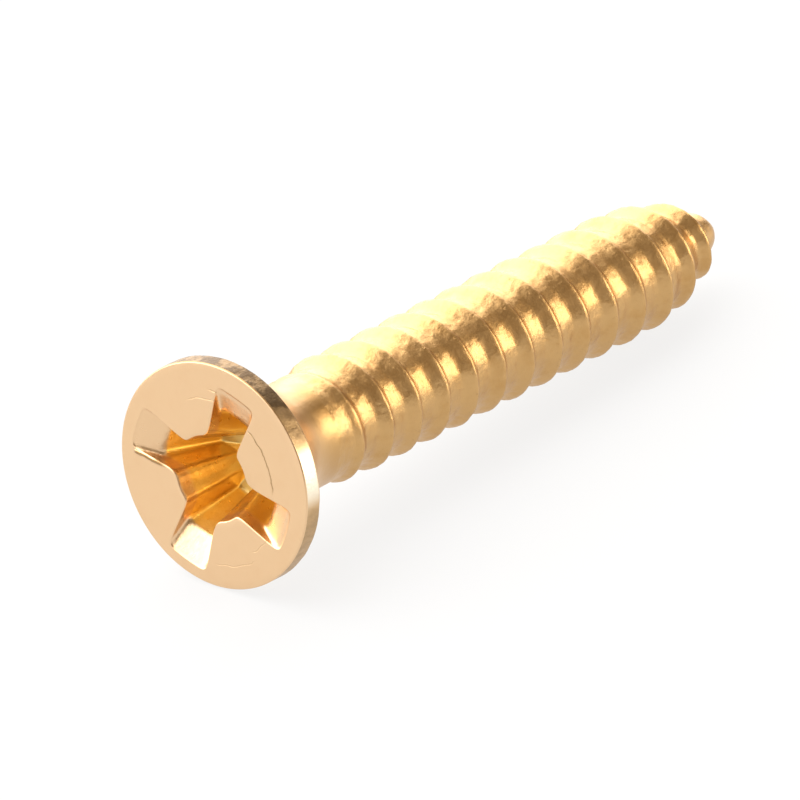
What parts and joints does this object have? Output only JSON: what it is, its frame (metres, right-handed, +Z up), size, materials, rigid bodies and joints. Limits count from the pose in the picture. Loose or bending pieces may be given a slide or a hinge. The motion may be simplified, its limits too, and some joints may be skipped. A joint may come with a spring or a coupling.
{
  "type": "countersunk wood screw",
  "caption": "Countersunk wood screw: flat round head with a cross recess, short plain neck, coarse helical thread and a sharp gimlet point.",
  "frame": {"origin": "centre of the head's flat face", "axes": "+Y along the screw's axis from the head to the point, the flat face looks along -Y, +Z up; the cross recess's wings lie 72 degrees from +X towards +Z and every 90 degrees from there"},
  "size_m": [0.0076, 0.0254, 0.0076],
  "materials": {
    "brass": "bright, lightly satin from rolling and tumbling"
  },
  "bodies": {
    "root": {"wood_screw": "brass"}
  },
  "joints": []
}
